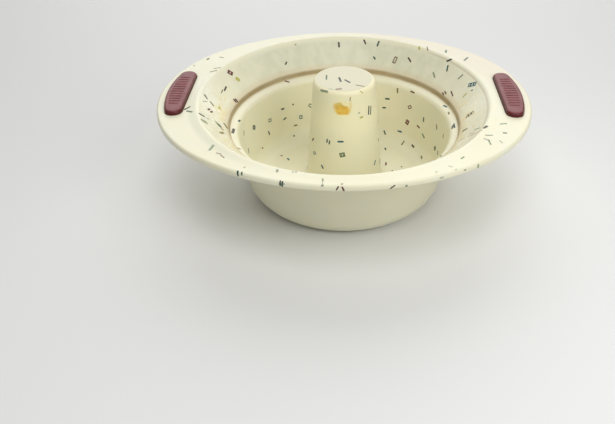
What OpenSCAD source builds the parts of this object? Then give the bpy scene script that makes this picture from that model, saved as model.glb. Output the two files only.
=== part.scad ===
// Silicone ring cake mould: one moulding with an oval rim, a round cavity and a hollow
// chimney in the middle, and two grip pads seated in the rim's wide ends.
// The origin is on the chimney's axis at the surface that the mould stands on.
// X runs across the grip pads and Z points up.

/* [Rim] */
// Width of the rim beyond the mouth at its two wide ends
rim_end_w = 30.5; // [26:0.5:36]
// Width of the rim beyond the mouth at the front and back
rim_side_w = 11.5; // [10:0.5:18]
// Thickness of the rim
rim_t = 4.5; // [4:0.1:6]
// Rounding of the rim's upper outer edge
rim_top_r = 1.8; // [0.8:0.1:2.2]
// Rounding of the rim's lower outer edge
rim_low_r = 1.2; // [0.5:0.1:1.6]
// Drop from the mouth's edge to the flat of the rim
rim_drop = 0.8; // [0.4:0.1:1.2]
// Width of the slope between the mouth's edge and the flat of the rim
rim_slope_w = 7; // [5:0.5:8]

/* [Cavity] */
// Radius of the mouth
mouth_r = 111; // [96:0.5:126]
// Height of the mouth's edge above the table
mouth_h = 80; // [70:1:95]
// Rounding of the mouth's edge
mouth_edge_r = 3; // [1:0.5:4]
// Depth of the collar, the cone between the mouth and the step
collar_h = 21.5; // [18:0.5:25]
// Width of the collar, from the mouth's edge in to the step
collar_w = 21; // [18:0.5:24]
// Height of the step under the collar
step_h = 3.6; // [2.5:0.1:5]
// How far the step leans inwards over its height
step_lean = 0.8; // [0.3:0.1:1.5]
// Width of the sloping shelf inside the step
shelf_w = 6; // [5:0.5:8]
// Height that the shelf drops over its width
shelf_drop = 2.6; // [1.5:0.1:4]
// Rounding where the shelf turns down into the wall
shoulder_r = 5; // [3:0.5:6]
// Lean of the wall from upright, in degrees
wall_draft = 9; // [5:0.5:12]
// Rounding where the wall meets the floor
wall_foot_r = 14; // [8:1:16]
// Thickness of the moulding's wall and floor
wall_t = 2; // [1.5:0.1:2.4]

/* [Chimney] */
// Radius of the chimney at its top
chimney_r = 23.5; // [20:0.5:27]
// Height of the chimney's top above the mouth's edge
chimney_rise = 12.6; // [8:0.2:16]
// Lean of the chimney's side from upright, in degrees
chimney_draft = 4.9; // [3:0.1:6]
// Rounding of the chimney's top edge
chimney_edge_r = 3.6; // [2.8:0.1:5]
// Rounding where the chimney meets the floor
chimney_foot_r = 9; // [6:1:12]

/* [Grip pads] */
// Length of a grip pad along the rim
grip_len = 69; // [60:1:78]
// Land between the mouth's edge and a grip pad's straight side
grip_land = 7.8; // [7:0.1:10]
// Land between a grip pad and the rim's outer edge
grip_margin = 6; // [4.5:0.1:8]
// Height of a grip pad above the rim
grip_h = 3; // [1.6:0.1:4]
// Depth of the recess that a grip pad sits in
grip_seat = 1.2; // [0.8:0.1:1.8]
// Gap round a grip pad in its recess
grip_gap = 0.4; // [0.2:0.05:0.6]
// Rounding of a grip pad's corners, in plan
grip_corner_r = 6; // [4:0.5:8]
// Width of the rounded edge along a grip pad's long sides
grip_edge_w = 2; // [1.2:0.1:3]
// Width of the rounded edge at a grip pad's two ends
grip_end_w = 3.2; // [2:0.1:5]
// Number of grip ribs on a pad
rib_count = 12; // [6:1:14]
// Distance from rib to rib
rib_pitch = 3.9; // [3:0.1:4.2]
// Width of a rib
rib_w = 1.4; // [0.8:0.1:2]
// Height of a rib above the pad
rib_h = 0.5; // [0.3:0.1:0.8]
// Land between a rib's ends and the pad's rounded edge
rib_land = 1.2; // [0.8:0.1:2]

/* [Hidden] */

$fn = 96;
arc_steps = 8;  // stretches in a fillet of a profile
edge_steps = 6; // levels in a grip pad's rounded edge
edge_curve = 0.7; // 1 makes that edge an ellipse, less makes it squarer
end_steps = 40; // stretches in a grip pad's long curved side

// Levels, above the table
rim_top_z = mouth_h - rim_drop;
rim_low_z = rim_top_z - rim_t;
step_top_z = mouth_h - collar_h;
step_low_z = step_top_z - step_h;
shelf_low_z = step_low_z - shelf_drop;
chimney_top_z = mouth_h + chimney_rise;

// Radii
collar_foot_r = mouth_r - collar_w;
step_foot_r = collar_foot_r - step_lean;
shelf_r = step_foot_r - shelf_w;
wall_foot_x = shelf_r - (shelf_low_z - wall_t) * tan(wall_draft);
chimney_foot_x = chimney_r + (chimney_top_z - wall_t) * tan(chimney_draft);

// The rim is an oval of four arcs, laid out on four 3:4:5 triangles round its centre:
// two round ends and two flatter sides, which meet without a corner on the triangles'
// long sides. Whole hundredths keep those joins exact.
half_len = mouth_r + rim_end_w;
oval_unit = round(50 * (rim_end_w - rim_side_w)) / 100;
end_x = 3 * oval_unit;
side_y = 4 * oval_unit;
end_r = half_len - end_x;
side_r = end_r + 5 * oval_unit;

// The collar leans outwards by this much for each millimetre of height. The swept band
// of the rim reaches so far in that it ends inside the collar's wall all round.
collar_lean = collar_w / collar_h;
rim_reach = rim_end_w + (rim_drop + rim_t) * collar_lean;
root_fillet = 3; // fillet between the collar's outside and the rim's underside
root_bury = 0.4; // how far that fillet reaches into the rim, so that they are one
function collar_mid_r(z) = mouth_r + (z - mouth_h) * collar_lean + wall_t * 0.7;

// Grip pads
grip_x = mouth_r + grip_land;
grip_arc_r = end_r - grip_margin;
grip_floor_z = rim_top_z - grip_seat;
grip_top_z = rim_top_z + grip_h;

function unit(v) = v / norm(v);
function arc(c, r, from, to, steps) =
    [for (i = [0:steps]) c + r * [cos(from + (to - from) * i / steps), sin(from + (to - from) * i / steps)]];

// Corner point b of a path with its neighbours a and c, rounded with radius r
function rounded_corner(a, b, c, r) =
    let (u = unit(a - b), v = unit(c - b), half = acos(u * v) / 2)
    r <= 0 || half > 89.9 ? [b] :
    let (centre = b + unit(u + v) * r / sin(half),
         p = b + u * r / tan(half) - centre,
         q = b + v * r / tan(half) - centre,
         from = atan2(p[1], p[0]),
         turn = atan2(p[0] * q[1] - p[1] * q[0], p * q))
    arc(centre, r, from, from + turn, arc_steps);

// A path of corners [x, y, radius]; its two ends stay sharp
function rounded_path(path) =
    let (last = len(path) - 1)
    [for (i = [0:last])
        let (b = [path[i][0], path[i][1]])
        each (i == 0 || i == last) ? [b] :
            rounded_corner([path[i - 1][0], path[i - 1][1]], b, [path[i + 1][0], path[i + 1][1]], path[i][2])];

// The same path moved by t to its left, each corner along its mitre; a corner that
// turns away from that side gets a larger radius and the others a smaller one
function left_of(v) = [-v[1], v[0]];
function shifted_path(path, t) =
    let (last = len(path) - 1)
    [for (i = [0:last])
        let (b = [path[i][0], path[i][1]],
             before = i == 0 ? undef : unit(b - [path[i - 1][0], path[i - 1][1]]),
             after = i == last ? undef : unit([path[i + 1][0], path[i + 1][1]] - b),
             n0 = left_of(i == 0 ? after : before),
             n1 = left_of(i == last ? before : after),
             mitre = unit(n0 + n1),
             move = t / (mitre * n0),
             bend = n0[0] * n1[1] - n0[1] * n1[0],
             p = b + mitre * move)
        [p[0], p[1], max(path[i][2] - sign(bend) * t, 0.5)]];

// The moulding surface from the chimney's top centre down to the floor and out over
// the mouth's edge. Its last stretch dips a little into the rim's flat.
slope_end = 1 + 1 / rim_slope_w;
moulding_surface = [
    [0, chimney_top_z, 0],
    [chimney_r, chimney_top_z, chimney_edge_r],
    [chimney_foot_x, wall_t, chimney_foot_r],
    [wall_foot_x, wall_t, wall_foot_r],
    [shelf_r, shelf_low_z, shoulder_r],
    [step_foot_r, step_low_z, 1],
    [collar_foot_r, step_top_z, 1.4],
    [mouth_r, mouth_h, mouth_edge_r],
    [mouth_r + rim_slope_w * slope_end, mouth_h - rim_drop * slope_end, 0]
];

module moulding_profile() {
    outside = shifted_path(moulding_surface, -wall_t);
    // The outside of the collar runs up into the rim, with a fillet under it
    root_z = rim_low_z + root_bury;
    root_r = outside[6][0] + (root_z - outside[6][1]) * collar_lean;
    outside_path = [
        [0, outside[0][1], 0],
        for (i = [1:6]) outside[i],
        [root_r, root_z, root_fillet],
        [moulding_surface[8][0], root_z, 0]
    ];
    inner = rounded_path(moulding_surface);
    outer = rounded_path(outside_path);
    polygon(concat(inner, [for (i = [len(outer) - 1:-1:0]) outer[i]]));
}

// Sweeps a band round the rim's oval, between two levels. The children are drawn with
// x = 0 at the outer edge and x below 0 inside it.
module oval_sweep(low, high) {
    far = 60; // reach of a wedge, in units of its 3:4:5 triangle
    for (side = [0, 1])
        mirror([side, 0, 0])
            intersection() {
                translate([end_x, 0, 0])
                    rotate_extrude()
                        translate([end_r, 0])
                            children();
                translate([0, 0, low])
                    linear_extrude(high - low)
                        polygon([[end_x, 0], [end_x + 3 * far, -4 * far], [end_x + 3 * far, 4 * far]]);
            }
    for (side = [0, 1])
        mirror([0, side, 0])
            intersection() {
                translate([0, -side_y, 0])
                    rotate_extrude()
                        translate([side_r, 0])
                            children();
                translate([0, 0, low])
                    linear_extrude(high - low)
                        polygon([[0, -side_y], [end_x + 3 * far, 4 * far], [-end_x - 3 * far, 4 * far]]);
            }
}

module rim_band() {
    low = rim_low_z - 1;
    high = rim_top_z + 1;
    difference() {
        oval_sweep(low, high)
            polygon(rounded_path([
                [-rim_reach, rim_low_z, 0],
                [0, rim_low_z, rim_low_r],
                [0, rim_top_z, rim_top_r],
                [-rim_reach, rim_top_z, 0]
            ]));
        // The band ends inside the collar's wall
        translate([0, 0, low])
            cylinder(r1 = collar_mid_r(low), r2 = collar_mid_r(high), h = high - low);
    }
}

// Plan of the right-hand grip pad, drawn in by inset along its sides and by end_inset at
// its ends: a straight side along the mouth, a long side that follows the rim and
// rounded corners
function grip_plan(inset, end_inset) =
    let (h = grip_len / 2 - end_inset,
         r = max(grip_corner_r - inset, 0.6),
         side = grip_x + inset,
         reach = grip_arc_r - inset,
         fx = end_x + sqrt(pow(reach - r, 2) - pow(h - r, 2)),
         turn = atan2(h - r, fx - end_x))
    concat(
        arc([side + r, h - r], r, 180, 90, arc_steps),
        arc([fx, h - r], r, 90, turn, arc_steps),
        arc([end_x, 0], reach, turn, -turn, end_steps),
        arc([fx, r - h], r, -turn, -90, arc_steps),
        arc([side + r, r - h], r, -90, -180, arc_steps)
    );

module grip_ribs() {
    first = -(rib_count - 1) / 2 * rib_pitch;
    inner_x = grip_x + grip_edge_w + rib_land + rib_w / 2;
    for (i = [0:rib_count - 1]) {
        y = first + i * rib_pitch;
        outer_x = end_x + sqrt(pow(grip_arc_r - grip_edge_w - rib_land, 2) - y * y) - rib_w / 2;
        translate([inner_x, y, grip_top_z - rib_h])
            linear_extrude(2 * rib_h) {
                translate([0, -rib_w / 2])
                    square([outer_x - inner_x, rib_w]);
                circle(d = rib_w, $fn = 24);
                translate([outer_x - inner_x, 0])
                    circle(d = rib_w, $fn = 24);
            }
    }
}

module grip_pad() {
    color([0.56, 0.28, 0.33]) {
        translate([0, 0, grip_floor_z])
            linear_extrude(grip_seat + 0.2)
                polygon(grip_plan(0, 0));
        hull()
            for (i = [0:edge_steps]) {
                a = 90 * i / edge_steps;
                inward = 1 - pow(cos(a), edge_curve);
                translate([0, 0, rim_top_z + (grip_h - 0.1) * pow(sin(a), edge_curve)])
                    linear_extrude(0.1)
                        polygon(grip_plan(grip_edge_w * inward, grip_end_w * inward));
            }
        grip_ribs();
    }
}

module grip_recess() {
    translate([0, 0, grip_floor_z])
        linear_extrude(grip_seat + 1)
            polygon(grip_plan(-grip_gap, -grip_gap));
}

module right_grip_pad() {
    grip_pad();
}

module left_grip_pad() {
    mirror([1, 0, 0])
        grip_pad();
}

module mould_body() {
    color([0.93, 0.9, 0.79])
        difference() {
            union() {
                rotate_extrude()
                    moulding_profile();
                rim_band();
            }
            grip_recess();
            mirror([1, 0, 0])
                grip_recess();
        }
}

mould_body();
left_grip_pad();
right_grip_pad();
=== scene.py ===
import random
from math import acos, atan2, ceil, cos, hypot, pi, radians, sin, sqrt, tan
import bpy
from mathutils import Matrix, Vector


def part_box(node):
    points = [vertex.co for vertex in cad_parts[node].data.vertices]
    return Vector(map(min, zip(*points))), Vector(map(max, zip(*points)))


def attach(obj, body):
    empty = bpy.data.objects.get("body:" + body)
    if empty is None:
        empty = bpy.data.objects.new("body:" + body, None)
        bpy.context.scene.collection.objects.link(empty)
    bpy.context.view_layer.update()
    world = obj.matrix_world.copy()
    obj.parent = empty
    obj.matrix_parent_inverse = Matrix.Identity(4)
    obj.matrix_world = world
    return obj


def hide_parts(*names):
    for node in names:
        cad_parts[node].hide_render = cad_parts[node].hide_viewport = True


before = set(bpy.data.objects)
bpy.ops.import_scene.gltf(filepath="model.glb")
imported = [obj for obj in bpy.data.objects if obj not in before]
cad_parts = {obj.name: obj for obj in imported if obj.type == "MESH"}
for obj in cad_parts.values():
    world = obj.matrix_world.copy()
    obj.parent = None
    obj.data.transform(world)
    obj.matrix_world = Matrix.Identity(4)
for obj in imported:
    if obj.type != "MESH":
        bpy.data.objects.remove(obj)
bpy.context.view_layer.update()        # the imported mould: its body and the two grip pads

from types import SimpleNamespace

import bmesh
import bpy
from mathutils import Matrix, Vector, noise
from mathutils.bvhtree import BVHTree
from mathutils.geometry import delaunay_2d_cdt

mm = 0.001               # sizes below are in millimetres, as in the drawing of the mould
tiny = 1e-6              # what is smaller than this counts as nothing
scene = bpy.context.scene
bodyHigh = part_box("mould_body")[1] / mm

# the camera stands where the photo was taken: about arm's length away, looking down
# over the front rim
cameraSetup = {
    "place": (-0.3, -453.2, 312.2),
    "turn": 0.7,             # degrees that place and view are turned round the chimney
    "pitchDown": 37.43,      # degrees under level
    "focalPx": 653.2,        # focal length, in pixels of the photo
    "middlePx": (343.8, 212),
    "widePx": 615,           # width of the photo
    "sensor": 36,
}
view = SimpleNamespace(**cameraSetup)


def turned(vector):
    return Matrix.Rotation(radians(view.turn), 3, "Z") @ Vector(vector)


def makeCamera():
    data = bpy.data.cameras.new("camera")
    data.sensor_width = view.sensor
    data.lens = view.focalPx * view.sensor / view.widePx
    data.shift_x = (view.widePx / 2 - view.middlePx[0]) / view.widePx
    camera = bpy.data.objects.new("camera", data)
    camera.location = turned(view.place) * mm
    camera.rotation_euler = (radians(90 - view.pitchDown), 0, radians(view.turn))
    scene.collection.objects.link(camera)
    scene.camera = camera
    print("camera set")


def sightLine(px):
    # from the camera through a pixel of the photo, in millimetres
    across = (px[0] - view.middlePx[0]) / view.focalPx
    up = (view.middlePx[1] - px[1]) / view.focalPx
    down = radians(view.pitchDown)
    forward, upward = Vector((0, cos(down), -sin(down))), Vector((0, sin(down), cos(down)))
    return turned(view.place), turned(forward + upward * up + Vector((across, 0, 0))).normalized()


makeCamera()


# shader sums are written as plain expressions on wires
class Wire:
    def __init__(self, maker, socket):
        self.maker, self.socket = maker, socket

    def __add__(self, other): return self.maker.sum("ADD", self, other)
    def __radd__(self, other): return self.maker.sum("ADD", other, self)
    def __sub__(self, other): return self.maker.sum("SUBTRACT", self, other)
    def __rsub__(self, other): return self.maker.sum("SUBTRACT", other, self)
    def __mul__(self, other): return self.maker.sum("MULTIPLY", self, other)
    def __rmul__(self, other): return self.maker.sum("MULTIPLY", other, self)
    def __abs__(self): return self.maker.node("Math", {"operation": "ABSOLUTE"}, {0: self})


class Finish:
    def __init__(self, name):
        self.material = bpy.data.materials.new(name)
        self.material.use_nodes = True
        self.tree = self.material.node_tree
        self.tree.nodes.clear()

    def node(self, kind, settings=None, sockets=None, out=0):
        made = self.tree.nodes.new("ShaderNode" + kind)
        for key, value in (settings or {}).items():
            setattr(made, key, value)
        for key, value in (sockets or {}).items():
            self.feed(made.inputs[key], value)
        return Wire(self, made.outputs[out]) if made.outputs else made

    def feed(self, socket, value):
        if isinstance(value, Wire):
            self.tree.links.new(value.socket, socket)
        elif socket.type == "RGBA" and len(value) == 3:
            socket.default_value = (*value, 1)
        else:
            socket.default_value = value

    def sum(self, operation, a, b):
        # a Math node would turn a colour grey, so colours and vectors have nodes of their own
        kinds = [x.socket.type for x in (a, b) if isinstance(x, Wire)]
        if "RGBA" in kinds:
            return self.node("Mix", {"data_type": "RGBA", "blend_type": operation}, {0: 1, 6: a, 7: b}, 2)
        kind = "VectorMath" if "VECTOR" in kinds else "Math"
        return self.node(kind, {"operation": operation}, {0: a, 1: b})

    def length(self, vector):
        return self.node("VectorMath", {"operation": "LENGTH"}, {0: vector}, "Value")

    def blend(self, share, a, b):
        # sockets 6 and 7 of a Mix node take the colours, and its output 2 gives the result
        return self.node("Mix", {"data_type": "RGBA"}, {0: share, 6: a, 7: b}, 2)

    def rise(self, value, low, high):
        # 0 below low, 1 above high, smooth between them
        return self.node("MapRange", {"interpolation_type": "SMOOTHSTEP"}, {0: value, 1: low, 2: high})

    def past(self, value, low, high):
        # the same for a length, with low and high in millimetres
        return self.rise(value, low * mm, high * mm)

    def within(self, value, low, high, edge):
        # 1 from low to high with soft edges, in millimetres
        return self.past(value, low - edge, low + edge) * (1 - self.past(value, high - edge, high + edge))

    def grain(self, place, size, detail=2):
        # soft noise from 0 to 1, whose blobs are about size millimetres across
        return self.node("TexNoise", {}, {"Vector": place, "Scale": 1 / (size * mm), "Detail": detail})

    def close(self, sockets):
        shader = self.node("BsdfPrincipled", {}, sockets)
        self.node("OutputMaterial", {}, {"Surface": shader})
        return self.material


# shared geometry, all in millimetres until the mesh is made
def arcPoints(centre, radius, start, end, steps):
    turns = [start + (end - start) * i / steps for i in range(steps + 1)]
    return [(centre[0] + radius * cos(t), centre[1] + radius * sin(t)) for t in turns]


def roundedPath(corners, steps=7):
    # corners are (x, y, radius); the two ends stay sharp
    points = [corners[0][:2]]
    for before, corner, after in zip(corners, corners[1:], corners[2:]):
        at, radius = Vector(corner[:2]), corner[2]
        u, v = (Vector(before[:2]) - at).normalized(), (Vector(after[:2]) - at).normalized()
        half = acos(u.dot(v)) / 2
        centre = at + (u + v).normalized() * radius / sin(half)
        p, q = (at + w * radius / tan(half) - centre for w in (u, v))
        start = atan2(p.y, p.x)
        points += arcPoints(centre, radius, start, start + atan2(p.x * q.y - p.y * q.x, p.dot(q)), steps)
    points.append(corners[-1][:2])
    return points


def shiftedPath(corners, shift, leastR):
    # the path moved to its right by shift, for a wall of constant thickness
    moved = []
    for i, (x, y, radius) in enumerate(corners):
        at = Vector((x, y))
        before = (at - Vector(corners[i - 1][:2])).normalized() if i else None
        after = (Vector(corners[i + 1][:2]) - at).normalized() if i < len(corners) - 1 else None
        n0, n1 = (Vector((d.y, -d.x)) for d in (before or after, after or before))
        mitre = (n0 + n1).normalized()
        p = at + mitre * shift / mitre.dot(n0)
        bend = n0.x * n1.y - n0.y * n1.x
        turn = (bend > tiny) - (bend < -tiny)
        moved.append((p.x, p.y, max(radius + turn * shift, leastR)))
    return moved


def finer(points, longest):
    # a path with its long stretches cut up evenly
    cut = [points[0]]
    for (x0, y0), (x1, y1) in zip(points, points[1:]):
        parts = max(1, ceil(hypot(x1 - x0, y1 - y0) / longest))
        cut += [(x0 + (x1 - x0) * i / parts, y0 + (y1 - y0) * i / parts) for i in range(1, parts + 1)]
    return cut


def isInside(x, y, loop):
    crossings = 0
    for (x0, y0), (x1, y1) in zip(loop, loop[1:] + loop[:1]):
        if (y0 > y) != (y1 > y) and x < x0 + (x1 - x0) * (y - y0) / (y1 - y0):
            crossings += 1
    return crossings % 2 == 1


def addRing(bm, points):
    return [bm.verts.new(p) for p in points]


def skin(bm, rings):
    for a, b in zip(rings, rings[1:]):
        for i in range(len(a)):
            bm.faces.new((a[i - 1], a[i], b[i], b[i - 1]))


def fan(bm, ring, point):
    tip = bm.verts.new(point)
    for i in range(len(ring)):
        bm.faces.new((ring[i - 1], ring[i], tip))


def fillSheet(bm, outer, holes, inner=()):
    # a triangulated sheet between closed rings of vertices; inner are points (x, y, z) in it
    verts, edges = [], []
    for ring in (outer, *holes):
        first = len(verts)
        verts += ring
        edges += [(first + i, first + (i + 1) % len(ring)) for i in range(len(ring))]
    loops = [[tuple(v.co.xy) for v in ring] for ring in (outer, *holes)]
    verts += [bm.verts.new(p) for p in inner]
    found = delaunay_2d_cdt([v.co.xy for v in verts], edges, [], 0, tiny)
    places, triangles, sources = found[0], found[2], found[3]
    for triangle in triangles:
        x, y = (sum(places[i][k] for i in triangle) / 3 for k in (0, 1))
        if isInside(x, y, loops[0]) and not any(isInside(x, y, loop) for loop in loops[1:]):
            bm.faces.new([verts[sources[i][0]] for i in triangle])


def makePiece(name, bm, materials, sharpAngle):
    bmesh.ops.recalc_face_normals(bm, faces=bm.faces)
    for face in bm.faces:
        face.smooth = True
    for vert in bm.verts:
        vert.co *= mm
    mesh = bpy.data.meshes.new(name)
    bm.to_mesh(mesh)
    bm.free()
    mesh.set_sharp_from_angle(angle=radians(sharpAngle))
    for material in materials:
        mesh.materials.append(material)
    piece = bpy.data.objects.new(name, mesh)
    scene.collection.objects.link(piece)
    print(name, len(mesh.polygons), "faces")
    return piece


# the rim's oval: two round ends and two flatter sides, which meet on 3:4:5 triangles
ovalUnit = (bodyHigh.x - bodyHigh.y) / 2
endX, sideY = 3 * ovalUnit, 4 * ovalUnit
endR = bodyHigh.x - endX
sideR = endR + 5 * ovalUnit
seamSine = 4 / 5


def ovalPoint(turn, inset, z):
    # on the rim's edge where it faces the way of turn, moved in by inset
    c, s = cos(turn), sin(turn)
    if abs(s) <= seamSine:
        return (endX if c > 0 else -endX) + (endR - inset) * c, (endR - inset) * s, z
    return (sideR - inset) * c, (-sideY if s > 0 else sideY) + (sideR - inset) * s, z


# land is a flat beside a form, before the next one begins
gripSize = {
    "length": 69, "land": 7.8, "margin": 6, "cornerR": 6, "leastCornerR": 0.6,
    "height": 3, "seat": 1.2, "gap": 0.4, "recessEdgeR": 0.25,
    "lift": 0.02, "sideRing": 0.4,       # a pad's foot over its recess, and a ring under the rim's top
    "edgeWidth": 2, "endWidth": 3.2, "edgeCurve": 0.7,
    "ribs": 12, "ribPitch": 3.9, "ribWidth": 1.9, "ribHeight": 0.5, "ribLand": 1.2, "ribEnd": 0.8,
    "cornerSteps": 8, "curveSteps": 40, "edgeSteps": 10, "recessSteps": 4,
    "grid": 0.45, "gridLand": 0.3,       # the points on a pad's top
    "sharpAngle": 60,
}

bodySize = {
    "mouthR": 111, "mouthEdgeR": 3, "rimDrop": 0.8, "slopeWidth": 7,
    "rimThick": 4.5, "rimTopR": 1.8, "rimLowR": 1.2, "lipLand": 3, "rootR": 3, "rootLand": 4,
    "collarHeight": 21.5, "collarWidth": 21,
    "stepHeight": 3.6, "stepLean": 0.8, "stepTopR": 1.4, "stepLowR": 1,
    "shelfWidth": 6, "shelfDrop": 2.6, "shoulderR": 5,
    "wallDraft": 9, "wallFootR": 14, "wallThick": 2, "leastBendR": 0.5,
    "chimneyR": 23.5, "chimneyRise": 12.6, "chimneyDraft": 4.9, "chimneyEdgeR": 3.6, "chimneyFootR": 9,
    "stations": 240, "longest": 5, "sharpAngle": 40,
    # the soft wall isn't quite true, and the chimney is stiffer; the sway fades out towards
    # the mouth and the base
    "sway": 0.28, "swayLength": 42, "swayTall": 1.6, "chimneySway": 0.4, "chimneyReach": 40,
    "swayUnderMouth": 4, "swayOverBase": 3, "swayFade": 12,
}
mould = SimpleNamespace(**bodySize)
pad = SimpleNamespace(**gripSize)
mouthZ = bodyHigh.z - mould.chimneyRise
rimTopZ = mouthZ - mould.rimDrop
rimLowZ = rimTopZ - mould.rimThick
stepTopZ = mouthZ - mould.collarHeight
collarFootR = mould.mouthR - mould.collarWidth


def gripPlan(inset, endInset):
    # a pad's outline, anticlockwise: straight along the mouth, curved along the rim
    half, corner = pad.length / 2 - endInset, max(pad.cornerR - inset, pad.leastCornerR)
    near, reach = mould.mouthR + pad.land + inset + corner, endR - pad.margin - inset
    far = endX + sqrt((reach - corner) ** 2 - (half - corner) ** 2)
    turn = atan2(half - corner, far - endX)
    return (arcPoints((near, corner - half), corner, -pi, -pi / 2, pad.cornerSteps)
            + arcPoints((far, corner - half), corner, -pi / 2, -turn, pad.cornerSteps)
            + arcPoints((endX, 0), reach, -turn, turn, pad.curveSteps)[1:-1]
            + arcPoints((far, half - corner), corner, turn, pi / 2, pad.cornerSteps)
            + arcPoints((near, half - corner), corner, pi / 2, pi, pad.cornerSteps))


def gripRing(bm, side, inset, endInset, z):
    return addRing(bm, [(side * x, y, z) for x, y in gripPlan(inset, endInset)])


def mouldingPaths():
    # (radius, height) from the chimney's top over the mouth's edge, and back underneath
    wall, foot = tan(radians(mould.wallDraft)), tan(radians(mould.chimneyDraft))
    stepLowZ = stepTopZ - mould.stepHeight
    shelfLowZ = stepLowZ - mould.shelfDrop
    shelfR = collarFootR - mould.stepLean - mould.shelfWidth
    surface = [
        (0, bodyHigh.z, 0),
        (mould.chimneyR, bodyHigh.z, mould.chimneyEdgeR),
        (mould.chimneyR + (bodyHigh.z - mould.wallThick) * foot, mould.wallThick, mould.chimneyFootR),
        (shelfR - (shelfLowZ - mould.wallThick) * wall, mould.wallThick, mould.wallFootR),
        (shelfR, shelfLowZ, mould.shoulderR),
        (collarFootR - mould.stepLean, stepLowZ, mould.stepLowR),
        (collarFootR, stepTopZ, mould.stepTopR),
        (mould.mouthR, mouthZ, mould.mouthEdgeR),
        (mould.mouthR + mould.slopeWidth, rimTopZ, 0),
    ]
    outside = shiftedPath(surface, mould.wallThick, mould.leastBendR)
    lean = mould.collarWidth / mould.collarHeight
    rootR = outside[6][0] + (rimLowZ - outside[6][1]) * lean
    under = [(0, outside[0][1], 0), *outside[1:7],
             (rootR, rimLowZ, mould.rootR), (rootR + mould.rootLand, rimLowZ, 0)]
    return roundedPath(surface), roundedPath(under)


def sway(point):
    # moves a point of the soft wall a little in or out; the rim and the base stay true
    x, y, z = point
    r = hypot(x, y)
    if r < 1:
        return point
    fades = (mouthZ - mould.swayUnderMouth - z) / mould.swayFade, (z - mould.swayOverBase) / mould.swayFade
    height = min(1, max(0, fades[0])) * min(1, max(0, fades[1]))
    size = mould.sway * (mould.chimneySway if r < mould.chimneyReach else 1)
    move = noise.noise(Vector((x, y, z * mould.swayTall)) / mould.swayLength) * size * height
    return x * (1 + move / r), y * (1 + move / r), z


def makeBody(material):
    turns = [2 * pi * i / mould.stations for i in range(mould.stations)]
    bm = bmesh.new()

    def circle(r, z):
        return addRing(bm, [sway((r * cos(t), r * sin(t), z)) for t in turns])

    def oval(inset, z):
        return addRing(bm, [ovalPoint(t, inset, z) for t in turns])

    top, under = mouldingPaths()
    topRings = [circle(r, z) for r, z in finer(top, mould.longest)[1:]]
    underRings = [circle(r, z) for r, z in finer(under, mould.longest)[1:]]
    skin(bm, topRings)
    fan(bm, topRings[0], (0, 0, top[0][1]))
    skin(bm, underRings)
    fan(bm, underRings[0], (0, 0, under[0][1]))

    lip = roundedPath([(mould.lipLand, rimTopZ, 0), (0, rimTopZ, mould.rimTopR),
                       (0, rimLowZ, mould.rimLowR), (mould.lipLand, rimLowZ, 0)])
    lipRings = [oval(inset, z) for inset, z in lip]
    skin(bm, [*lipRings, underRings[-1]])

    # the recesses that the pads sit in are sunk in the rim's flat
    recesses = []
    for side in (1, -1):
        rings = []
        for k in range(pad.recessSteps + 1):
            a = pi / 2 * k / pad.recessSteps
            inset = -pad.gap - pad.recessEdgeR * (1 - sin(a))
            rings.append(gripRing(bm, side, inset, inset, rimTopZ - pad.recessEdgeR * (1 - cos(a))))
        rings.append(gripRing(bm, side, -pad.gap, -pad.gap, rimTopZ - pad.seat))
        skin(bm, rings)
        bm.faces.new(rings[-1])
        recesses.append(rings[0])
    fillSheet(bm, lipRings[0], [topRings[-1], *recesses])
    return makePiece("mouldBody", bm, [material], mould.sharpAngle)


def ribLift(x, y, inner, outer):
    # height of the grip ribs over a pad's top
    near = min(max((x - inner) / pad.ribEnd, 0), 1) * min(max((outer - x) / pad.ribEnd, 0), 1)
    first = -(pad.ribs - 1) / 2 * pad.ribPitch
    place = min(max(round((y - first) / pad.ribPitch), 0), pad.ribs - 1) * pad.ribPitch + first
    across = min(abs(y - place) / (pad.ribWidth / 2), 1)
    return pad.ribHeight * (0.5 + 0.5 * cos(pi * across)) * near


def makeGrip(name, side, material):
    bm = bmesh.new()
    rings = [gripRing(bm, side, 0, 0, z)
             for z in (rimTopZ - pad.seat + pad.lift, rimTopZ - pad.sideRing, rimTopZ)]
    for k in range(1, pad.edgeSteps + 1):
        a = pi / 2 * k / pad.edgeSteps
        z = rimTopZ + pad.height * sin(a) ** pad.edgeCurve
        inward = 1 - max(cos(a), 0) ** pad.edgeCurve
        rings.append(gripRing(bm, side, pad.edgeWidth * inward, pad.endWidth * inward, z))
    skin(bm, rings)
    bm.faces.new(rings[0])

    # the top is a fine grid of points, so that the ribs are in its shape
    left = mould.mouthR + pad.land + pad.edgeWidth
    right = max(x for x, y in gripPlan(pad.edgeWidth, pad.endWidth))
    keepIn = gripPlan(pad.edgeWidth + pad.gridLand, pad.endWidth + pad.gridLand)
    inner = []
    for i in range(ceil(pad.length / pad.grid)):
        y = (i + 0.5) * pad.grid - pad.length / 2
        outer = endX + sqrt((endR - pad.margin - pad.edgeWidth - pad.ribLand) ** 2 - y * y)
        for j in range(ceil((right - left) / pad.grid)):
            x = left + (j + 0.5) * pad.grid
            if isInside(x, y, keepIn):
                z = rimTopZ + pad.height + ribLift(x, y, left + pad.ribLand, outer)
                inner.append((side * x, y, z))
    fillSheet(bm, rings[-1], [], inner)
    return makePiece(name, bm, [material], pad.sharpAngle)


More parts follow.
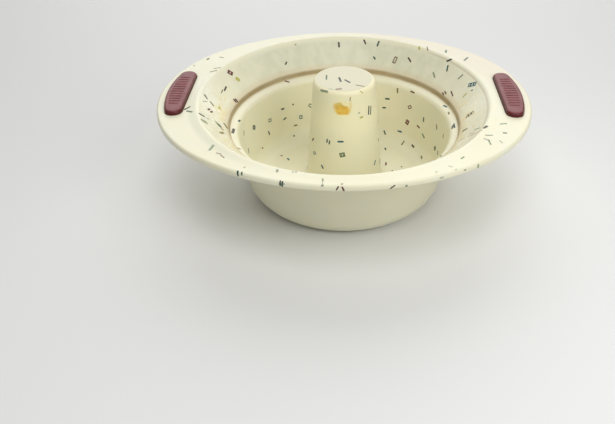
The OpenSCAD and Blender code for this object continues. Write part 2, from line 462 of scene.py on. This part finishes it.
# finishes; amount is how strongly each tint is laid over the cream
creamLook = {
    "cream": (0.84, 0.815, 0.61), "warm": (0.82, 0.765, 0.53), "cool": (0.81, 0.805, 0.64),
    # crown is painted shade that darkens the chimney's flat top
    "crown": (0.68, 0.645, 0.46),        # the chimney's flat top, a shade darker
    # chimney is the yellow of a batter film on the chimney's sides, brightened with painted warm bounce light
    "chimney": (0.955, 0.905, 0.63), "edge": (0.94, 0.865, 0.58),
    # thin is painted shade, laid on the back of the collar and on the front left of the slope by the mouth
    "thin": (0.66, 0.66, 0.49), "blush": (0.76, 0.69, 0.54), "pale": (0.88, 0.86, 0.70),
    "dull": (0.50, 0.42, 0.32), "grease": (0.84, 0.74, 0.42), "streak": (0.97, 0.96, 0.88),
    "baked": (0.30, 0.20, 0.075), "tan": (0.62, 0.48, 0.27),
    "batter": (0.86, 0.55, 0.065), "crust": (0.74, 0.41, 0.026), "halo": (0.97, 0.86, 0.46),
    "skin": (0.62, 0.50, 0.12),
    "amount": {"cool": 0.6, "warm": 0.4, "thin": 0.85, "pale": 0.3, "dull": 0.5, "blush": 0.7, "slope": 0.5,
               "grease": 0.8, "streak": 0.8, "low": 0.25, "chimney": 0.9, "edge": 0.8, "tan": 0.35,
               "halo": 0.7, "skin": 0.6, "spill": 0.92},
    # a spill of batter on the front of the chimney, in blots (across, up, width, height) from its
    # middle: a bowl with a bite out of it, and horns with their strengths
    "stainX": -1.6, "stainZ": 80.4, "bowl": (0.8, -2.2, 5.8, 5.8), "bite": (3.2, 3.6, 3.2, 2.4),
    "horns": (((-5, 0.6, 1.5, 2.8), 0.6), ((-2.2, 1.7, 3, 3), 0.85), ((6.6, 2.8, 1, 4.4), 0.35)),
    "haloBlot": (0.8, -0.6, 8, 7),
    "rough": 0.36, "roughSpread": 0.14, "spillRough": 0.2, "greaseGloss": 0.1,
    "bump": 0.06, "bumpDeep": 0.2, "spillProud": 1.5,
    "soft": 0.12, "softTint": (1, 0.8, 0.5), "softDeep": 3, "ior": 1.43,
}


def makeCream():
    look = SimpleNamespace(**creamLook)
    amount = SimpleNamespace(**look.amount)
    f = Finish("creamSilicone")
    place = f.node("TexCoord", out="Object")
    x, y, z = (f.node("SeparateXYZ", {}, {0: place}, axis) for axis in "XYZ")
    radius = f.length(place * (1, 1, 0))
    upward = f.node("SeparateXYZ", {}, {0: f.node("TexCoord", out="Normal")}, "Z")
    plain = f.blend(f.rise(f.grain(place, 30, 3), 0.35, 0.7) * amount.cool, look.cream, look.cool)
    plain = f.blend(f.rise(f.grain(place, 55), 0.45, 0.75) * amount.warm, plain, look.warm)

    # the collar has upright streaks, the mouth has a line of painted shade at its right, and slope is the
    # front left of the strip between the mouth and the rim's flat, which gets painted shade
    collar = f.past(z, stepTopZ - 2, stepTopZ + 4) * (1 - f.past(z, mouthZ - 5, mouthZ - 1))
    upright = f.rise(f.grain(place * (1, 1, 0.12), 9), 0.35, 0.65)
    # painted shade: a dark line along the right of the mouth's edge
    mouthLine = f.within(radius, mould.mouthR - 2.7, mould.mouthR - 1.6, 0.5)
    mouthLine = mouthLine * f.past(z, mouthZ - 5, mouthZ - 4) * f.past(x, 60, 85)
    # painted shade: the rim is darker and pinker at the back right
    rim = f.past(radius, mould.mouthR - 1, mould.mouthR + 3) * f.past(z, rimTopZ - 3, rimTopZ - 1)
    slope = f.within(radius, mould.mouthR + 1.5, mould.mouthR + 7.5, 1.8)
    slope = slope * (1 - f.past(x, -95, -45)) * (1 - f.past(y, -10, 15))

    # grease at the front of the collar lies in patches low down, with short pale streaks that are painted
    # highlights
    greasy = collar * f.past(y, -92, -75) * (1 - f.past(y, 5, 35))
    greasy = greasy * f.past(radius, collarFootR - 4, collarFootR - 2)
    lowPatches = (1 - f.past(z, stepTopZ + 6, stepTopZ + 16)) * f.rise(f.grain(place, 9, 3), 0.45, 0.62)
    ripple = f.grain(place * (1.3, 1, 0.8), 9, 1) - 0.5
    streak = (1 - f.rise(abs(ripple), 0.008, 0.038)) * greasy * f.rise(f.grain(place, 6, 1), 0.46, 0.57)

    low = (1 - f.past(z, stepTopZ - 6, stepTopZ + 10)) * (1 - f.past(radius, 86, 92))
    # partly a batter film and partly painted warm bounce light on the chimney's sides
    filmAndBounce = f.past(z, 45, 70) * (1 - f.past(radius, 30, 34))
    # painted highlight: a bright warm ring round the chimney's top edge
    edge = f.past(z, bodyHigh.z - 4.5, bodyHigh.z - 1.5)
    # painted shade on the chimney's flat top
    crown = f.past(z, bodyHigh.z - 0.35, bodyHigh.z - 0.05)

    # a dark brown line runs along the step, with a paler and wider one round it
    wander = (f.grain(place, 11) - 0.5) * 1.4 * mm
    outside = f.past(radius, collarFootR - 3, collarFootR - 1)
    stepBand = f.within(z + wander, stepTopZ - 4, stepTopZ + 3.2, 2) * outside
    baked = f.within(z + wander * 0.4, stepTopZ - 3.2, stepTopZ + 0.5, 0.9) * outside
    baked = baked * (0.55 + f.grain(place, 16) * 0.4)

    ragged = (f.grain(place, 3.5, 3) - 0.5) * 0.7

    def blot(across, up, width, height):
        centre = ((look.stainX + across) * mm, 0, (look.stainZ + up) * mm)
        away = f.length((place - centre) * (1 / (width * mm), 0, 1 / (height * mm)))
        return 1 - f.rise(away + ragged, 0.68, 1.1)

    clear = 1 - blot(*look.bowl) * (1 - blot(*look.bite) * 0.95)
    for horn, strength in look.horns:
        clear = clear * (1 - blot(*horn) * strength)
    front = (1 - f.past(y, -20, -12)) * f.past(radius, 20, 22) * (1 - f.past(radius, 32, 34))
    spill = (1 - clear) * front * f.past(z, look.stainZ - 5.6, look.stainZ - 4.8)
    batter = f.blend(f.rise(f.grain(place, 4, 3), 0.35, 0.65), look.batter, look.crust)
    batter = f.blend(f.past(z, look.stainZ, look.stainZ + 4) * amount.skin, batter, look.skin)

    tints = [
        # painted shade: the collar is greyer towards the back
        (collar * f.past(y, 10, 95) * amount.thin, look.thin),       # greyer towards the back
        (collar * upright * amount.pale, look.pale),
        (mouthLine * amount.dull, look.dull),
        (rim * f.past(x * 0.7 + y * 0.7, 75, 115) * amount.blush, look.blush),     # at the back right
        # painted shade on the front left of the slope between the mouth and the rim's flat
        (slope * amount.slope, look.thin),
        (greasy * lowPatches * amount.grease, look.grease),
        (streak * amount.streak, look.streak),
        (low * amount.low, look.warm),       # faintly stained from the step down
        (filmAndBounce * amount.chimney, look.chimney),
        (edge * amount.edge, look.edge),
        (crown, look.crown),
        (stepBand * amount.tan, look.tan),
        (baked, look.baked),
        (blot(*look.haloBlot) * front * amount.halo, look.halo),
        (spill * amount.spill, batter),
    ]
    colour = plain
    for mask, tint in tints:
        colour = f.blend(mask, colour, tint)
    # the outside and the underside stay plain
    colour = f.blend(f.rise(upward, -0.05, 0.05), plain, colour)

    rough = look.rough + (f.grain(place, 18, 3) - 0.5) * look.roughSpread
    rough = rough + spill * look.spillRough - greasy * look.greaseGloss
    height = f.grain(place, 1.4) + spill * look.spillProud
    bump = f.node("Bump", {}, {"Strength": look.bump, "Distance": look.bumpDeep * mm, "Height": height})
    return f.close({"Base Color": colour, "Roughness": rough, "Normal": bump,
                    "Subsurface Weight": look.soft, "Subsurface Radius": look.softTint,
                    "Subsurface Scale": look.softDeep * mm, "IOR": look.ior})


maroonLook = {
    "top": (0.18, 0.036, 0.039), "worn": (0.23, 0.054, 0.056), "side": (0.095, 0.010, 0.010),
    "sideAmount": 0.9, "rough": 0.40, "roughSpread": 0.2, "bump": 0.1, "bumpDeep": 0.15, "ior": 1.4,
}


def makeMaroon():
    # the tops are dulled by handling; the sides are darkened with painted shade
    look = SimpleNamespace(**maroonLook)
    f = Finish("maroonSilicone")
    place = f.node("TexCoord", out="Object")
    z = f.node("SeparateXYZ", {}, {0: place}, "Z")
    colour = f.blend(f.rise(f.grain(place, 7, 3), 0.3, 0.7), look.top, look.worn)
    # painted shade: the pads' sides below the top are darker
    side = 1 - f.past(z, rimTopZ + 2.2, rimTopZ + pad.height - 0.05)
    colour = f.blend(side * look.sideAmount, colour, look.side)
    rough = look.rough + (f.grain(place, 5, 3) - 0.5) * look.roughSpread
    bump = f.node("Bump", {}, {"Strength": look.bump, "Distance": look.bumpDeep * mm,
                               "Height": f.grain(place, 0.9)})
    return f.close({"Base Color": colour, "Roughness": rough, "Normal": bump, "IOR": look.ior})


# the printed confetti: each mark is a skin of ink that follows the silicone
confettiSize = {
    "width": 1.4, "thick": 0.06, "sink": 0.15, "step": 0.6, "sharpAngle": 50,
    "bluntShare": 0.5, "endShare": 0.55,     # a strip's ends are rounded off
    "shortest": 3.0, "longest": 8, "dot": 1.8,
    "pairGap": 2.1, "pairShift": 0.3, "pairLong": 0.8, "pairWidth": 0.75,
    "lineWidth": 0.75, "frameWidth": 2.2, "stripedWider": 1.35, "stripeAt": 0.36, "stripeWidth": 0.4,
    # what the camera doesn't see gets marks that are drawn by lot
    "areaEach": 340,         # square millimetres of silicone for each of them
    "triesEach": 4, "apart": 8, "seed": 11, "lotLong": (3.4, 5.0),
    "lotKinds": {"rod": 70, "dot": 10, "pair": 9, "frame": 7, "striped": 4},
    "deepR": 88, "deepTop": 58, "mouthLand": 2, "leastUpward": 0.02,
}
inks = {
    "teal": (0.015, 0.070, 0.060), "navy": (0.018, 0.030, 0.022), "maroon": (0.13, 0.014, 0.018),
    "olive": (0.21, 0.18, 0.035), "green": (0.065, 0.14, 0.065), "blue": (0.012, 0.11, 0.14),
    "brown": (0.16, 0.10, 0.045),
    "slate": (0.055, 0.048, 0.024), "dark": (0.060, 0.024, 0.012), "sage": (0.28, 0.33, 0.20),
    "lime": (0.50, 0.48, 0.12), "rose": (0.38, 0.29, 0.19), "crumb": (0.30, 0.17, 0.08),
    "mist": (0.48, 0.50, 0.37), "russet": (0.10, 0.022, 0.015),
}
commonInks = 7               # the marks that are drawn by lot have the first seven
inkLook = {
    "mottle": 0.5, "fade": 0.9, "haze": (0.07, 0.06, 0.04),      # worn to a paler shade in places
    "rough": 0.38, "roughSpread": 0.1, "ior": 1.41,
}


def mark(ink, at, lean, long, kind="rod", bold=1):
    # at is the mark's middle in the photo, in pixels, and long its length there; lean is in
    # degrees anticlockwise from level; bold widens its lines
    return SimpleNamespace(ink=ink, at=at, lean=lean, long=long, kind=kind, bold=bold)


def spot(ink, at, bold=1):
    return mark(ink, at, lean=30, long=2, kind="dot", bold=bold)


# the marks that the photo shows, region by region
seenConfetti = {
    "backWall": [
        mark("slate", at=(338.9, 44.7), lean=95, long=5.5, bold=1.2),
        spot("sage", at=(295.5, 44.5), bold=0.8),
        mark("slate", at=(286, 63.3), lean=65, long=3.5, bold=0.9),
        mark("dark", at=(364.8, 41.9), lean=113, long=5),
        mark("teal", at=(378.1, 43.7), lean=68, long=6),
        mark("teal", at=(374.4, 58), lean=125, long=3.5),
        mark("brown", at=(395, 60), lean=65, long=7, kind="frame", bold=1.2),
        mark("dark", at=(409.5, 59.7), lean=122, long=5.5),
        mark("lime", at=(419.3, 48), lean=92, long=4, bold=1.2),
        mark("russet", at=(427.3, 48), lean=95, long=4, bold=0.65),
    ],
    "rightCollar": [
        mark("navy", at=(449.2, 60.2), lean=24, long=6, bold=1.2),
        mark("teal", at=(447.4, 68.3), lean=78, long=6.5),
        mark("sage", at=(434, 75), lean=106, long=6, bold=1.1),
        mark("green", at=(460.5, 76.8), lean=42, long=7, bold=0.75),
        mark("blue", at=(472.2, 84.5), lean=12, long=8, kind="striped", bold=1.2),
        spot("teal", at=(472, 90.3), bold=0.9),
        mark("russet", at=(444.3, 93.3), lean=120, long=4, kind="pair"),
        mark("russet", at=(452, 93.7), lean=110, long=5.5, bold=0.8),
        mark("lime", at=(464.7, 95.2), lean=48, long=6),
        mark("slate", at=(469.8, 114.5), lean=35, long=9, kind="striped", bold=0.6),
        mark("slate", at=(485.4, 127), lean=32, long=5, bold=1.5),
        mark("olive", at=(464.8, 130), lean=28, long=6, bold=1.6),
        mark("green", at=(477.3, 128.7), lean=18, long=7, bold=0.65),
        mark("teal", at=(454.2, 125.8), lean=100, long=4.5),
        # painted shadow: this slate strip stands for a shadow line at the collar's foot, not a print mark
        mark("slate", at=(452.4, 127.2), lean=75, long=4),
        mark("crumb", at=(478.5, 131.8), lean=30, long=9, bold=0.4),
        mark("crumb", at=(470.2, 135.6), lean=24, long=9, bold=0.4),
        mark("crumb", at=(462, 139.2), lean=24, long=8, bold=0.35),
        mark("crumb", at=(472, 133), lean=20, long=7, bold=0.3),
    ],
    "leftCollar": [
        mark("maroon", at=(230.2, 72.7), lean=150, long=6, kind="striped", bold=1.3),
        mark("lime", at=(237.7, 79.2), lean=145, long=5.5, bold=2.4),
        mark("slate", at=(225.3, 88.7), lean=66, long=5),
        mark("slate", at=(222, 91.4), lean=66, long=4, bold=0.5),
        mark("slate", at=(205.8, 96.7), lean=123, long=6.2, bold=1.2),
        mark("olive", at=(211.9, 103.8), lean=128, long=6.4, bold=1.25),
        mark("sage", at=(205, 101.4), lean=175, long=5, bold=0.5),
        mark("russet", at=(208.9, 109.3), lean=20, long=2.6, bold=1.1),
        mark("russet", at=(211.5, 111.8), lean=20, long=2.4, bold=1.1),
        mark("lime", at=(219.5, 107.8), lean=80, long=2.8, bold=1.6),
        mark("russet", at=(235.7, 100.6), lean=128, long=6, kind="pair", bold=1.6),
        mark("slate", at=(201.8, 115), lean=150, long=7, bold=1.5),
        mark("mist", at=(207.2, 118.2), lean=152, long=5, bold=1.2),
        mark("sage", at=(204.2, 121.4), lean=152, long=7.4, bold=3),
        mark("green", at=(219.3, 125.4), lean=134, long=6, bold=2.5),
        mark("sage", at=(216.6, 122.6), lean=126, long=4.5, bold=1.4),
        spot("olive", at=(222.2, 129.1), bold=2.2),
        mark("olive", at=(225.8, 126), lean=126, long=7, bold=1.7),
        mark("olive", at=(221.8, 132.8), lean=178, long=4.2, bold=1.4),
        mark("slate", at=(233.2, 131), lean=72, long=8, bold=1.6),
        mark("olive", at=(213.4, 71.2), lean=13, long=8),
        mark("olive", at=(217.2, 68.1), lean=8, long=7, bold=0.85),
    ],
    "rim": [
        mark("green", at=(446, 51.5), lean=85, long=3, bold=1.1),
        mark("green", at=(466, 59), lean=40, long=5.5, bold=1.1),
        mark("olive", at=(208, 59), lean=40, long=3, bold=1.4),
        mark("sage", at=(221.7, 57.4), lean=168, long=4.5),
        spot("sage", at=(194, 65.7)),
        mark("slate", at=(187.2, 108.2), lean=27, long=7, bold=1.2),
        mark("green", at=(189.4, 111.5), lean=170, long=6, bold=1.2),
        mark("sage", at=(503.5, 123.8), lean=5, long=7.5),
        mark("green", at=(505, 133), lean=175, long=4.5),
        mark("green", at=(489, 135.3), lean=178, long=8, bold=0.55),
        mark("mist", at=(486.5, 139.5), lean=160, long=6, bold=1.2),
        mark("sage", at=(489.8, 142.4), lean=115, long=5.5, bold=0.8),
        mark("mist", at=(501, 141.8), lean=140, long=4.5, bold=0.8),
        mark("sage", at=(462.6, 157.8), lean=35, long=4),
        mark("mist", at=(450.5, 166.4), lean=165, long=4, bold=0.7),
        spot("mist", at=(456, 169.5), bold=0.7),
        spot("sage", at=(465, 170), bold=0.7),
        mark("sage", at=(478.2, 166.2), lean=80, long=3.5),
        spot("mist", at=(436.5, 172), bold=0.8),
        mark("mist", at=(441.7, 177.7), lean=15, long=4),
        spot("sage", at=(406.5, 186), bold=1.2),
        mark("slate", at=(390.5, 188.7), lean=38, long=5, bold=0.65),
        mark("slate", at=(393.2, 186.6), lean=38, long=5, bold=0.65),
        mark("russet", at=(337.4, 188.2), lean=60, long=5, bold=0.65),
        spot("rose", at=(342, 184), bold=0.9),
        mark("russet", at=(343, 188.9), lean=115, long=5.5, bold=0.75),
        mark("sage", at=(322.7, 180), lean=92, long=3, bold=0.8),
        mark("mist", at=(322.5, 182.8), lean=90, long=4, bold=0.5),
        spot("sage", at=(322.3, 185.5)),
        mark("teal", at=(280.1, 183), lean=88, long=7, bold=0.7),
        mark("teal", at=(282.2, 184), lean=88, long=7, bold=0.8),
        mark("green", at=(281.6, 184), lean=0, long=6, bold=0.5),
        mark("sage", at=(277.2, 170.8), lean=80, long=3, bold=1.1),
        spot("mist", at=(293, 171.8)),
        spot("mist", at=(296.2, 171.9)),
        mark("teal", at=(237.6, 173), lean=88, long=8.5, bold=0.9),
        mark("green", at=(241.7, 173.5), lean=85, long=4.5, bold=0.75),
        spot("mist", at=(244.5, 167.3)),
        mark("sage", at=(211.5, 147.8), lean=50, long=7, bold=1.3),
        mark("rose", at=(218.6, 153.5), lean=165, long=5.5, bold=0.8),
        mark("rose", at=(222.3, 156.4), lean=142, long=5, bold=0.8),
    ],
    "chimney": [
        mark("green", at=(326.5, 77.3), lean=86, long=5, bold=0.85),
        mark("navy", at=(340, 79.6), lean=113, long=5, bold=1.1),
        mark("navy", at=(347.4, 81.2), lean=152, long=6.5, bold=1.1),
        mark("olive", at=(360, 85.7), lean=170, long=9, bold=0.8),
        mark("sage", at=(324, 91), lean=167, long=8, bold=1.3),
        mark("mist", at=(331, 89), lean=175, long=5, bold=0.8),
        mark("rose", at=(338.7, 89), lean=8, long=6.5, bold=1.9),
        mark("lime", at=(361.5, 92), lean=150, long=4, bold=0.6),
        mark("navy", at=(368.7, 110.3), lean=87, long=9, bold=0.9),
        mark("teal", at=(370.7, 110.3), lean=87, long=9, bold=0.75),
        mark("rose", at=(350.2, 99), lean=80, long=2.5, bold=0.6),
        spot("mist", at=(359, 113), bold=0.8),
        mark("lime", at=(361.5, 117.3), lean=20, long=3),
    ],
}


class InkSkin:
    # lays strips of ink on the body's surface
    def __init__(self, body):
        mesh = body.data
        corners, faces = [v.co / mm for v in mesh.vertices], [tuple(p.vertices) for p in mesh.polygons]
        self.tree = BVHTree.FromPolygons(corners, faces)
        self.bm = bmesh.new()
        self.size = SimpleNamespace(**confettiSize)

    def setFrame(self, middle, normal, along):
        self.middle = middle
        self.along = (along - normal * along.dot(normal)).normalized()
        self.across = normal.cross(self.along)

    def section(self, u, v, half, dirU, dirV, parts):
        # a ring of points round the strip where its middle line passes (u, v)
        tops, lows = [], []
        for i in range(parts + 1):
            side = half * (1 - 2 * i / parts)
            p = self.middle + self.along * (u - dirV * side) + self.across * (v + dirU * side)
            place, normal = self.tree.find_nearest(p)[:2]
            tops.append(place + normal * self.size.thick)
            lows.append(place - normal * self.size.sink)
        return [self.bm.verts.new(p) for p in tops + lows[::-1]]

    def strip(self, start, end, width, ink):
        size = self.size
        length = hypot(end[0] - start[0], end[1] - start[1])
        dirU, dirV = (end[0] - start[0]) / length, (end[1] - start[1]) / length
        blunt = min(width / 2, length / 2) * size.bluntShare
        full = length - 2 * blunt
        steps = max(1, ceil(full / size.step))
        stops = [(blunt + full * i / steps, 1) for i in range(steps + 1)]
        stops = [(0, size.endShare), *stops, (length, size.endShare)]
        parts = ceil(width / size.step)
        sections = []
        for d, share in stops:
            u, v = start[0] + dirU * d, start[1] + dirV * d
            sections.append(self.section(u, v, width / 2 * share, dirU, dirV, parts))
        faces = [self.bm.faces.new(sections[0]), self.bm.faces.new(sections[-1])]
        for near, far in zip(sections, sections[1:]):
            faces += [self.bm.faces.new((near[i - 1], near[i], far[i], far[i - 1])) for i in range(len(near))]
        for face in faces:
            face.material_index = ink

    def draw(self, kind, length, ink, bold=1):
        size, half = self.size, length / 2
        if kind == "dot":
            self.strip((-size.dot / 2, 0), (size.dot / 2, 0), size.width * bold, ink)
        elif kind == "rod":
            self.strip((-half, 0), (half, 0), size.width * bold, ink)
        elif kind == "pair":
            for way in (1, -1):
                v, shift, reach = way * size.pairGap / 2, way * size.pairShift, half * size.pairLong
                self.strip((shift - reach, v), (shift + reach, v), size.width * size.pairWidth * bold, ink)
        else:
            side, line = size.frameWidth / 2, size.lineWidth * bold
            if kind == "striped":
                side = side * size.stripedWider
                for u in (-half * size.stripeAt, half * size.stripeAt):
                    self.strip((u, -side), (u, side), half * size.stripeWidth, ink)
            for v in (side, -side):
                self.strip((-half, v), (half, v), line, ink)
            for u in (half - line / 2, line / 2 - half):
                self.strip((u, side), (u, -side), line, ink)


def seenPlace(layer, m):
    # where a mark of the photo lies on the silicone, which way it runs there and its length
    eye, sight = sightLine(m.at)
    middle, normal = layer.tree.ray_cast(eye, sight)[:2]
    turn = radians(m.lean)
    ends = []
    for reach in (-0.5, 0.5):
        sight = sightLine((m.at[0] + reach * cos(turn), m.at[1] - reach * sin(turn)))[1]
        ends.append(eye + sight * (middle - eye).dot(normal) / sight.dot(normal))
    along = ends[1] - ends[0]
    length = min(max(m.long * along.length, layer.size.shortest), layer.size.longest)
    return middle, normal, along, length


def unseenPlaces(layer, body, taken):
    # places, drawn by lot, on the silicone that the photo doesn't show: deep in the mould, and
    # behind the front rim
    size, draw = layer.size, random.Random(layer.size.seed)
    mesh, eye = body.data, turned(view.place)
    faces, areas = [], []
    for p in mesh.polygons:
        place = p.center / mm
        radius = hypot(place.x, place.y)
        if p.normal.z < size.leastUpward or radius > mould.mouthR - size.mouthLand:
            continue
        deep = radius < size.deepR and place.z < size.deepTop
        start = place + p.normal
        if deep or layer.tree.ray_cast(start, (eye - start).normalized())[0]:
            faces.append(p)
            areas.append(p.area / mm ** 2)
    wanted = sum(areas) / size.areaEach
    found = []
    for face in draw.choices(faces, areas, k=size.triesEach * int(wanted)):
        weights = [draw.random() for _ in face.vertices]
        pulls = [mesh.vertices[i].co * w for i, w in zip(face.vertices, weights)]
        place = sum(pulls, Vector()) / sum(weights) / mm
        turn = draw.random() * pi
        if len(found) < wanted and all((place - other).length > size.apart for other in taken):
            taken.append(place)
            side = face.normal.orthogonal().normalized()
            found.append((place, face.normal, side * cos(turn) + face.normal.cross(side) * sin(turn)))
    return found


def makeConfetti(body, materials):
    layer = InkSkin(body)
    size, names, taken = layer.size, list(inks), []
    for marks in seenConfetti.values():
        for m in marks:
            middle, normal, along, length = seenPlace(layer, m)
            taken.append(middle)
            layer.setFrame(middle, normal, along)
            layer.draw(m.kind, length, names.index(m.ink), m.bold)
    seen = len(taken)
    draw = random.Random(size.seed + 1)
    for middle, normal, along in unseenPlaces(layer, body, taken):
        layer.setFrame(middle, normal, along)
        kind = draw.choices(list(size.lotKinds), list(size.lotKinds.values()))[0]
        layer.draw(kind, draw.uniform(*size.lotLong), draw.randrange(commonInks))
    print("confetti:", seen, "marks that the photo shows and", len(taken) - seen, "more")
    return makePiece("confetti", layer.bm, materials, size.sharpAngle)


def makeInk(name):
    look = SimpleNamespace(**inkLook)
    f = Finish(name + "Ink")
    place = f.node("TexCoord", out="Object")
    faded = tuple(look.fade * v + haze for v, haze in zip(inks[name], look.haze))
    colour = f.blend(f.grain(place, 1.2) * look.mottle, inks[name], faded)
    rough = look.rough + (f.grain(place, 2) - 0.5) * look.roughSpread
    return f.close({"Base Color": colour, "Roughness": rough, "IOR": look.ior})


cream, maroon = makeCream(), makeMaroon()
print("silicone finishes made")
mouldBody = makeBody(cream)
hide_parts("mould_body")
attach(mouldBody, "root")
for name, side, node in (("rightGrip", 1, "right_grip_pad"), ("leftGrip", -1, "left_grip_pad")):
    grip = makeGrip(name, side, maroon)
    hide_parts(node)
    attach(grip, "root")
confetti = makeConfetti(mouldBody, [makeInk(name) for name in inks])
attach(confetti, "root")


# stage and light
stageLook = {"floorSize": 12, "floor": (0.80, 0.80, 0.79), "floorRough": 0.7,
             "sky": (1, 1, 1), "skyStrength": 0.26}


def makeStage():
    bm = bmesh.new()
    half = stageLook["floorSize"] / 2
    bm.faces.new([bm.verts.new((x * half, y * half, 0)) for x, y in ((-1, -1), (1, -1), (1, 1), (-1, 1))])
    mesh = bpy.data.meshes.new("floor")
    bm.to_mesh(mesh)
    bm.free()
    f = Finish("paleFloor")
    mesh.materials.append(f.close({"Base Color": stageLook["floor"], "Roughness": stageLook["floorRough"]}))
    floor = bpy.data.objects.new("floor", mesh)
    scene.collection.objects.link(floor)


# places in metres
lamps = {
    "window": {"place": (0, 1.1, 0.9), "aim": (0, 0, 0.06), "size": 1.6, "power": 14.4},
    "front": {"place": (0, -0.35, 0.7), "aim": (0, 0, 0.06), "size": 0.4, "power": 1.85},
    "right": {"place": (0.45, -0.45, 0.5), "aim": (0, 0, 0.06), "size": 0.4, "power": 1.85},
}


def makeLight():
    for name, lamp in lamps.items():
        data = bpy.data.lights.new(name, "AREA")
        data.size = lamp["size"]
        data.energy = lamp["power"]
        light = bpy.data.objects.new(name, data)
        light.location = lamp["place"]
        aim = Vector(lamp["aim"]) - Vector(lamp["place"])
        light.rotation_euler = aim.to_track_quat("-Z", "Y").to_euler()
        scene.collection.objects.link(light)
    scene.world = bpy.data.worlds.new("world")
    scene.world.use_nodes = True
    background = scene.world.node_tree.nodes["Background"]
    background.inputs["Color"].default_value = (*stageLook["sky"], 1)
    background.inputs["Strength"].default_value = stageLook["skyStrength"]
    scene.view_settings.view_transform = "Standard"
    print("stage and light set")


makeStage()
makeLight()
